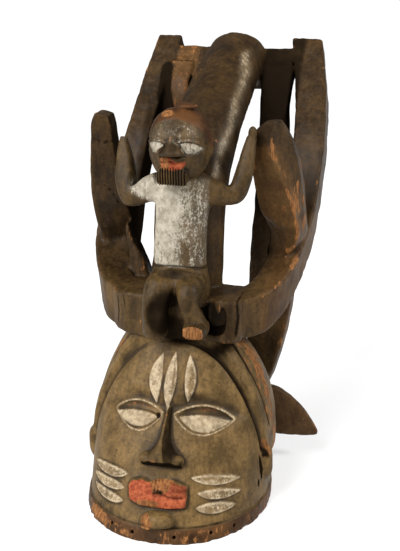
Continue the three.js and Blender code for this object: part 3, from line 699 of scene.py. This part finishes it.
# Painted shade on the nose: a little darker all over, darker on its right flank and darkest underneath.
soot += nose_dark * (0.33 + 0.3 * step(facing[:, 0] - 0.45, 0.4) + 0.8 * step(-facing[:, 2] - 0.35, 0.3))
# Painted shade in the sockets above the eyes.
soot += spots(place, [(0.42, (36, -42, 131), (26, 16, 6), 0.9), (0.3, (-34, -42, 128), (22, 16, 5), 0.9)])
# Painted shade along the groove across the hair and the crack behind its front strand.
hair_lines = bump(y + hair_groove, 1.7) + 0.75 * bump(crack_away(y, z), 1.2) * step(z - 88, 8)
soot += step(z - 60, 4) * step(178 - z, 14) * step(x, 60) * hair_lines
# Lowering the edge value over the nose makes it darker as a hollow, more painted shade, and keeps worn edges off it.
edge = edge - 0.9 * nose_dark
# Painted shade in the groove round each eyeball.
soot += sum(0.35 * bump(lens(x, z, **ball) - 0.3, 0.8) for ball in eyeballs.values()) * front
# Painted shade in the ear slits, beside the nose at the left eye's inner corner, in the middle of the mouth and
# under the chin on the right.
soot += spots(place, [(1.3, (96, -17, 51), (8, 2.8, 18), 0.3), (0.9, (-9.5, -60, 112.5), (2.8, 20, 2.6), 0.5),
                      (1.0, (97, -24, 36), (6, 3.5, 8), 0.3), (0.5, (1, -92, 45), (5, 20, 3), 0.6),
                      (0.3, (16, -100, 19), (12, 12, 7), 0.5)])
# Painted shade along the parting of the lips, over the upper lip right of the middle, round the lips and in the
# crease above the rim band.
lip_gap = parting(x, z)
soot += 0.45 * bump(lip_gap, 0.8) * (mouth < -2) + 0.3 * step(lip_gap, 2) * step(x - 6, 8) * (mouth < 0)
soot += 0.4 * front * bump(mouth - 1.2, 1.2) + 0.5 * bump(z - 15.5, 1.1) * front
rim_band = step(14.5 - z, 2)
paint(helmet_piece, white=white, red=red, bare=bare_wood, soot=soot, tone=0.78 - 0.5 * rim_band, edge=edge,
      cap=0.4 * rim_band)

crest_piece, place, edge, facing = carve("mask_crest", crest, 195000, 1.6, 0.75)
x, y, z = place.T
bare_wood = 0.36 * step(edge - 0.6, 0.6)
bare_wood += 0.72 * spot(place, in_crest(93, 30, 45), (22, 30, 70), 0.5) * step(edge - 0.3, 0.5)
# Painted shade deep in the hub's pocket, and on the hub below the figure's left foot.
inside_pocket = (x > 16) * (x < recess_end + 1.5) * (y > -15.5) * (y < 18) * (z > 188) * (z < 228)
soot = 1.5 * inside_pocket * (facing[:, 1] > -0.75) + 0.9 * spot(place, in_crest(-6, 0, 3), (22, 20, 20), 0.7)
# Painted shade on the bars' inner side faces, high up.
inner_sides = step(np.abs(facing[:, 0]) - 0.7, 0.3) * (facing[:, 0] * x < 0) * (np.abs(x) > 40)
soot = soot + 0.62 * inner_sides * step(z - 240, 20)
# Painted shade on the faces inside the back of the crest, and on the right leg at the back, high up.
behind = step(y - 60, 60) * step(0.4 - facing[:, 1], 0.6) * step(86 - np.abs(x), 10)
soot += 0.5 * behind * step(z - 225, 20) * step(425 - z, 70)
soot += 0.7 * step(x - 40, 6) * step(86 - x, 8) * (y > 150) * step(z - 300, 60)
tip = inside(x, z, [(80, 414), (91, 414.5), (86, 393), (81, 385), (67, 383), (68.5, 391.6), (72.7, 407)])
soot += 0.45 * step(1 - tip, 2) * (y < 50) * (facing[:, 1] < -0.2)
ridge = [(91, 413), (88, 392), (90, 375), (100.6, 355), (109.4, 335), (116, 306)]
bare_wood += (0.52 + 0.3 * noise(place, 9, 6)) * bump(near(x, z, ridge), 1.8) * (y < 56) * (z < 400)
leaf_front = step(-inside(x, z, [(64, 384), (92, 384), (116, 322), (116, 296), (62, 300)]), 10) * (y < 60)
bare_wood += 0.12 * leaf_front
# A lighter, whiter strip down the tongue's right shoulder: partly worn wood and partly painted highlight.
shoulder = near(x, z, [(26, 456), (33, 438), (33, 416), (35, 393), (32, 380), (29, 350)])
strip = bump(shoulder, 3.4) * (y < 210) * (y > 20) * (z > 345)
left_leg = (x < -38) * (x > -64) * (y > 160) * (z > 385) * (facing[:, 1] < -0.3)
bare_wood += 0.2 * left_leg + spots(place, [(0.8, (-72, 212, 472), (12, 18, 6), 0.5),
                                            (0.6, (-60, 215, 460), (8, 14, 8), 0.5)])
# Painted shade on the hub beside the pocket.
soot += 0.4 * spot(place, (58, -15, 210), (9, 8, 24), 0.6)
# The upper fin behind the left bar is painted black as shade.
fin = near(x, z, [(-72, 434), (-70, 410), (-64, 388), (-60, 372)])
soot += 0.9 * step(7 - fin, 4) * (y > 175) * (y < 222)
cracks = [[(-66, 224), (-64, 210), (-65, 196)], [(-103, 383), (-92, 378), (-84, 380), (-75, 376)],
          [(-58, 228), (-55, 214)], [(-96, 330), (-88, 322), (-84, 310)], [(64, 232), (65.5, 215), (64, 197)]]
for path in cracks:
    soot += 0.9 * bump(near(x, z, path), 0.9) * (y < 60)
hub_light = 0.24 * step(245 - z, 60) * step(25 - y, 30) * (1 - 0.9 * step(x - 30, 40) * step(105 - x, 20))
tone = 0.03 + 1.15 * hub_light + 0.1 * (x > 60) * (z < 300) + 0.75 * strip + 0.3 * leaf_front + 0.32 * left_leg
warm = 0.03 + 0.15 * leaf_front + 0.2 * left_leg + 0.1 * step(x - 84, 20) * step(300 - z, 60)
paint(crest_piece, polish=0.5 * strip, white=0.48 * strip, bare=bare_wood, soot=soot, tone=tone, edge=edge,
      warm=warm)

# Distances between two strands of the figure's beard and between two of its toes.
strand_pitch, toe_pitch = 2.7, 3.3
eyes_small = {-1: dict(middle=(-12.6, 393.5), half=9.6, up=2.6, down=8.2, turn=0.04),
              1: dict(middle=(21.5, 393), half=10.2, up=3.2, down=7.6, turn=-0.3)}


def figure_cuts(x, y, z):
    """Height of the relief in millimetres: eyes under heavy lids, the beard's strands, toes and the belt line."""
    front = step(-y - 14, 6)
    rise = np.zeros(len(x))
    for eye in eyes_small.values():
        ball = lens(x, z, **eye)
        above = step(z - eye["middle"][1] - math.tan(eye["turn"]) * (x - eye["middle"][0]), 2)
        rise += 1.3 * np.clip(-ball / 4, 0, 1) ** 0.7 - 0.7 * bump(ball - 0.3, 0.8)
        rise += above * (0.9 * bump(ball - 1.8, 1.0) - 0.6 * bump(ball - 4.0, 1.4))
    u, w = (x - 1.2 * figure_unit) / figure_unit, (z - crest_foot - figure_lift) / figure_unit
    strands = (np.abs(u) < 6.6) * step(74.4 - w, 1) * step(w - 64, 1) * step(-y - 24, 4)
    rise *= front * step(np.abs(x - 3.4) - np.interp(z, (388, 404), (12, 1)), 2)
    rise -= 1.5 * strands * (0.5 + 0.5 * np.cos(2 * math.pi * x / strand_pitch)) ** 1.5
    rise -= 0.9 * (0.5 + 0.5 * np.cos(2 * math.pi * x / toe_pitch)) * step(9 - w, 1) * step(-y - 44, 4) * (x > 10)
    rise -= 1.3 * bump(w - 30.4 + 0.012 * (u * u), 0.45) * step(-y - 2, 6) * (np.abs(u) < 15)
    return rise


figure_piece, place, edge, facing = carve("mask_figure", figure, 190000, 0.5, 0.3, figure_cuts)
x, y, z = place.T
u, w = x / figure_unit, (z - crest_foot - figure_lift) / figure_unit
trunk = step(w - 30, 1.5) * step(68 - w, 3) * step(13.5 - np.abs(u - 1), 2)
trunk = trunk * step(-y - 1, 8) * step(edge + 1.4, 0.5)
beard = spot(place, in_figure(1.2, -15, 70.5), np.array((7.2, 3.4, 5.2)) * figure_unit, 0.15)
# Kaolin on the trunk, thinner lower down and towards the right; the thinning to the right is partly worn paint and
# partly painted shade on the side away from the light.
white = trunk * (0.92 - 0.5 * step(u - 4, 12) - 0.16 * step(45 - w, 20))
white += 0.75 * spot(place, in_figure(-13, 0, 62.5), (20, 20, 13), 0.5) * (trunk < 0.5)
white -= 0.3 * spot(place, in_figure(5, -9, 36), (5, 20, 14), 0.6) * trunk
front = step(-y - 14, 8)
for eye in eyes_small.values():
    white = np.maximum(white, 0.66 * step(0.6 - lens(x, z, **eye), 3) * front * step(y + 39.5, 2))
white = np.maximum(white, 0.22 * spot(place, in_figure(2, -14, 88), (26, 14, 14), 0.6))
white *= 1 - beard
mouth_red = spot(place, in_figure(1.6, -16, 76.8), np.array((5.8, 4.5, 3.0)) * figure_unit, 0.15)
mouth_red *= 1 - 0.8 * spot(place, in_figure(4.6, -16, 78.6), np.array((3.2, 4, 1.4)) * figure_unit, 0.3)
bare_wood = spots(place, [
    (0.9, in_figure(-3.4, -10, 96.2), (11, 9, 3.4), 0.5), (0.9, in_figure(12, -23.5, 5), (14, 6, 9), 0.3),
    (0.7, in_figure(1.2, -15, 65.5), (17, 10, 3), 0.4), (0.62, in_figure(-1.6, -16, 76.8), (7, 6, 7), 0.3)])
# Painted shade in the grooves between the beard's strands, a dark line over the eyes, and darker patches on the left
# leg, below the belt, at the right knee, on the nose and on the brow.
grooves = beard * step(0.5 * np.cos(2 * math.pi * x / strand_pitch), 0.6)
lid_line = sum(bump(lens(x, z, **eye) - 0.6, 0.9) * front for eye in eyes_small.values())
soot = 1.2 * grooves + 0.3 * lid_line + spots(place, [
    (0.85, in_figure(-2.5, -17, 11), (18, 26, 25), 0.6), (0.4, in_figure(1.5, -9, 27), (25, 14, 5), 0.5),
    (0.5, in_figure(8.6, -19, 16.5), (6, 8, 9), 0.6), (0.5, in_figure(0.6, -18, 82.5), (10, 8, 9), 0.3),
    (0.35, in_figure(1.6, -15, 92), (12, 10, 9), 0.5)])
behind_hairline = step(y + 4.6 * figure_unit + 0.62 * (z - skull_at[2] - 0.4 * figure_unit), 1)
cap_red = 0.5 * (np.abs(u - 1.5) < 16) * behind_hairline * step(z - skull_at[2], 4)
paint(figure_piece, white=white, red=mouth_red, bare=bare_wood, soot=soot, tone=np.full(len(x), 0.2), edge=edge,
      cap=cap_red)


# Carved wood: patina with fine grain along the trunk, and the painted amounts broken up into specks and flakes.
wood = bpy.data.materials.new("carved_wood")
wood.use_nodes = True
nodes, links = wood.node_tree.nodes, wood.node_tree.links
shader = nodes["Principled BSDF"]
coordinates = nodes.new("ShaderNodeTexCoord")


def put(socket, value):
    if isinstance(value, bpy.types.NodeSocket):
        links.new(value, socket)
    else:
        socket.default_value = value


def calc(operation, *values, clamp=False):
    node = nodes.new("ShaderNodeMath")
    node.operation, node.use_clamp = operation, clamp
    for socket, value in zip(node.inputs, values):
        put(socket, value)
    return node.outputs[0]


def plus(*values):
    """Sum of values, and likewise times and highest, their product and their maximum."""
    total = values[0]
    for value in values[1:]:
        total = calc("ADD", total, value)
    return total


def times(*values):
    total = values[0]
    for value in values[1:]:
        total = calc("MULTIPLY", total, value)
    return total


def highest(*values):
    total = values[0]
    for value in values[1:]:
        total = calc("MAXIMUM", total, value)
    return total


def amount(name):
    node = nodes.new("ShaderNodeAttribute")
    node.attribute_name = name
    return node.outputs["Fac"]


def specks(size, detail=3.0, stretch=1.0, roughness=0.6):
    """Noise with lumps of a size in metres, drawn out along the trunk by a factor."""
    mapping = nodes.new("ShaderNodeMapping")
    mapping.inputs["Scale"].default_value = (1 / size, 1 / size, 1 / size / stretch)
    links.new(coordinates.outputs["Object"], mapping.inputs["Vector"])
    node = nodes.new("ShaderNodeTexNoise")
    node.inputs["Scale"].default_value = 1.0
    node.inputs["Detail"].default_value = detail
    node.inputs["Roughness"].default_value = roughness
    links.new(mapping.outputs["Vector"], node.inputs["Vector"])
    return node.outputs["Fac"]


def between(value, low, high):
    node = nodes.new("ShaderNodeMapRange")
    node.interpolation_type = "SMOOTHSTEP"
    for socket, part in zip(node.inputs, (value, low, high)):
        put(socket, part)
    return node.outputs[0]


def mix(share, under, over):
    node = nodes.new("ShaderNodeMix")
    node.data_type = "RGBA"
    for name, value in (("Factor_Float", share), ("A_Color", under), ("B_Color", over)):
        put(next(socket for socket in node.inputs if socket.identifier == name), value)
    return next(socket for socket in node.outputs if socket.identifier == "Result_Color")


def flaked(name, noise_value, strength, soft=0.12):
    """Amount of a colour as a mask with the noise's ragged edges, and none where there is no colour."""
    ragged = times(calc("SUBTRACT", noise_value, 0.5), strength)
    mask = between(plus(amount(name), ragged), 0.5 - soft, 0.5 + soft)
    return times(mask, between(amount(name), 0.02, 0.15))


broad, fine, grain, streaks = specks(0.03, 4), specks(0.0035, 5), specks(0.0022, 4, 9), specks(0.007, 4, 7)
tone = amount("tone")
dark = mix(tone, (0.010, 0.0058, 0.0018, 1), (0.072, 0.043, 0.014, 1))
light = mix(tone, (0.050, 0.027, 0.0085, 1), (0.19, 0.115, 0.041, 1))
patina = mix(between(plus(times(broad, 0.8), times(fine, 0.5), times(streaks, 0.5)), 0.7, 1.18), dark, light)
patina = mix(amount("warm"), patina, (0.16, 0.055, 0.012, 1))
patina = mix(times(between(grain, 0.5, 0.75), 0.35), patina, (0.02, 0.012, 0.008, 1))
pits = times(between(specks(0.003, 1), 0.69, 0.73), 0.6)
patina = mix(pits, patina, (0.012, 0.008, 0.005, 1))

# Wear: bare wood in flakes where it is painted on and along the sharpest edges, and the reddish cap and rim.
edge_value = plus(amount("edge"), times(calc("SUBTRACT", specks(0.008, 5, 3), 0.5), 2.4))
bare_mask = highest(flaked("bare", specks(0.005, 5, 2.5), 2.2), between(edge_value, 1.5, 1.95))
bare_color = mix(between(specks(0.002, 4, 8), 0.35, 0.7), (0.095, 0.038, 0.012, 1), (0.27, 0.115, 0.034, 1))
cap_color = mix(between(broad, 0.3, 0.7), (0.018, 0.007, 0.002, 1), (0.080, 0.031, 0.009, 1))
color = mix(bare_mask, mix(times(amount("cap"), 1.8), patina, cap_color), bare_color)

# Paint: red on the lips, and kaolin white in specks over a thin haze of itself.
red_mask = flaked("red", specks(0.004, 5), 1.6)
red_color = mix(between(fine, 0.35, 0.65), (0.165, 0.028, 0.010, 1), (0.30, 0.075, 0.028, 1))
color = mix(times(red_mask, calc("SUBTRACT", 1.0, times(bare_mask, 0.85))), color, red_color)
chalk = plus(times(specks(0.0016, 6, 1.5), 0.6), times(specks(0.004, 5, 4), 0.4))
white_mask = flaked("white", chalk, 3.2, 0.3)
haze = calc("MULTIPLY", amount("white"), 0.3, clamp=True)
thin_white = mix(tone, (0.24, 0.22, 0.17, 1), (0.22, 0.155, 0.085, 1))
full_white = mix(tone, (0.39, 0.365, 0.31, 1), (0.44, 0.335, 0.20, 1))
white_color = mix(between(specks(0.008, 5), 0.35, 0.65), thin_white, full_white)
color = mix(highest(haze, times(white_mask, 0.88)), color, white_color)

# Darker in the hollows, and soot and painted shade in dark flakes where their amount is painted.
cavity = between(times(amount("edge"), -1.0), 0.12, 0.9)
color = mix(times(cavity, 0.75), color, (0.011, 0.007, 0.004, 1))
color = mix(flaked("soot", broad, 1.2, 0.4), color, (0.0095, 0.0062, 0.0036, 1))
links.new(color, shader.inputs["Base Color"])
soot_mask = flaked("soot", broad, 1.2, 0.3)
matte = highest(white_mask, soot_mask, times(bare_mask, 0.7), times(red_mask, 0.8))
worn_smooth = times(amount("polish"), broad, -0.3)
sheen = plus(times(calc("SUBTRACT", 1.0, soot_mask), 0.12), times(amount("polish"), 0.5))
put(shader.inputs["Specular IOR Level"], sheen)
put(shader.inputs["Roughness"], plus(times(matte, 0.3), worn_smooth, plus(0.36, times(fine, 0.24))))
bumps = nodes.new("ShaderNodeBump")
bumps.inputs["Strength"].default_value = 0.75
bumps.inputs["Distance"].default_value = 0.0006
put(bumps.inputs["Height"], plus(times(grain, 0.6), times(fine, 0.8)))
links.new(bumps.outputs["Normal"], shader.inputs["Normal"])
for piece in (helmet_piece, crest_piece, figure_piece):
    piece.data.materials.append(wood)

# Stage: a plain pale floor under a white sky, two soft lamps, a soft sun and the camera at the photograph's angle.
floor_mesh = bpy.data.meshes.new("floor")
floor_mesh.from_pydata([(-30, -30, 0), (30, -30, 0), (30, 30, 0), (-30, 30, 0)], [], [(0, 1, 2, 3)])
floor = bpy.data.objects.new("floor", floor_mesh)
bpy.context.scene.collection.objects.link(floor)
pale = bpy.data.materials.new("pale_floor")
pale.use_nodes = True
floor_sockets = pale.node_tree.nodes["Principled BSDF"].inputs
floor_sockets["Base Color"].default_value = (0.4, 0.4, 0.4, 1)
floor_sockets["Emission Color"].default_value = (1, 1, 1, 1)
floor_sockets["Emission Strength"].default_value = 0.6
floor_sockets["Roughness"].default_value = 0.9
floor_mesh.materials.append(pale)

world = bpy.data.worlds.new("studio")
bpy.context.scene.world = world
world.use_nodes = True
world.node_tree.nodes["Background"].inputs["Color"].default_value = (1, 1, 1, 1)
world.node_tree.nodes["Background"].inputs["Strength"].default_value = 0.26


def lamp(name, at, size, power):
    data = bpy.data.lights.new(name, "AREA")
    data.shape, data.size, data.energy = "DISK", size, power
    lamp_object = bpy.data.objects.new(name, data)
    lamp_object.location = at
    aim = Vector((0, 0, 0.25)) - Vector(at)
    lamp_object.rotation_euler = aim.to_track_quat("-Z", "Y").to_euler()
    bpy.context.scene.collection.objects.link(lamp_object)


lamp("strip", (1.4, -0.3, 1.3), 0.4, 24)
lamp("left", (-1.3, -1.0, 0.9), 0.6, 17)
sun = bpy.data.lights.new("window", "SUN")
sun.energy, sun.angle = 3.7, math.radians(30)
sun_object = bpy.data.objects.new("window", sun)
sun_object.rotation_euler = Vector((0.38, 0.85, -0.9)).to_track_quat("-Z", "Y").to_euler()
bpy.context.scene.collection.objects.link(sun_object)
bpy.context.scene.view_settings.view_transform = "Standard"

camera_data = bpy.data.cameras.new("camera")
camera_data.lens, camera_data.sensor_width, camera_data.clip_start = 73.03, 36, 0.05
camera = bpy.data.objects.new("camera", camera_data)
camera.location = (0.303, -1.057 - 0.0774, 0.612)
camera.rotation_euler = (math.radians(71.79), 0, math.radians(14.89))
bpy.context.scene.collection.objects.link(camera)
bpy.context.scene.camera = camera
